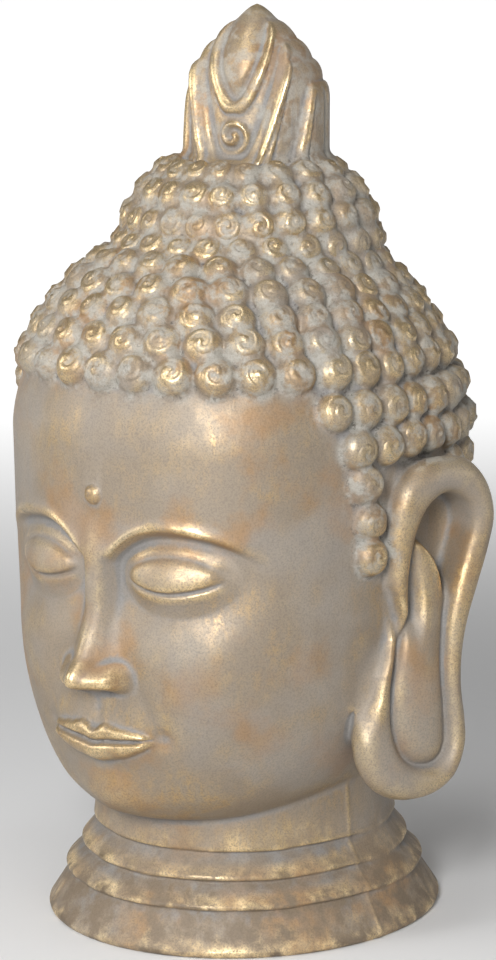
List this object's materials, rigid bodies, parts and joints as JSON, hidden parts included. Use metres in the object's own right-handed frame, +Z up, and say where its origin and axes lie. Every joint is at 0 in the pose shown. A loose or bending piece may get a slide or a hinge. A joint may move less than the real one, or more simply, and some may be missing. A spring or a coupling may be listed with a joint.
{
  "type": "buddha head statue",
  "caption": "Cast garden statue of a Buddha head with snail curls, topknot and flame, long ears and a stepped oval collar that it stands on.",
  "frame": {"origin": "middle of the oval underside of the collar, on the surface that the statue stands on", "axes": "+Z up, the face looks towards -Y, the statue's left ear is on the +X side"},
  "size_m": [0.4008, 0.3872, 0.6988],
  "materials": {
    "bronze_gold_finish": "taupe-grey cast stone rubbed with bronze and gold on the raised parts, bluish-grey wash in the hollows"
  },
  "bodies": {
    "root": {"buddha_head": "bronze_gold_finish"}
  },
  "joints": []
}
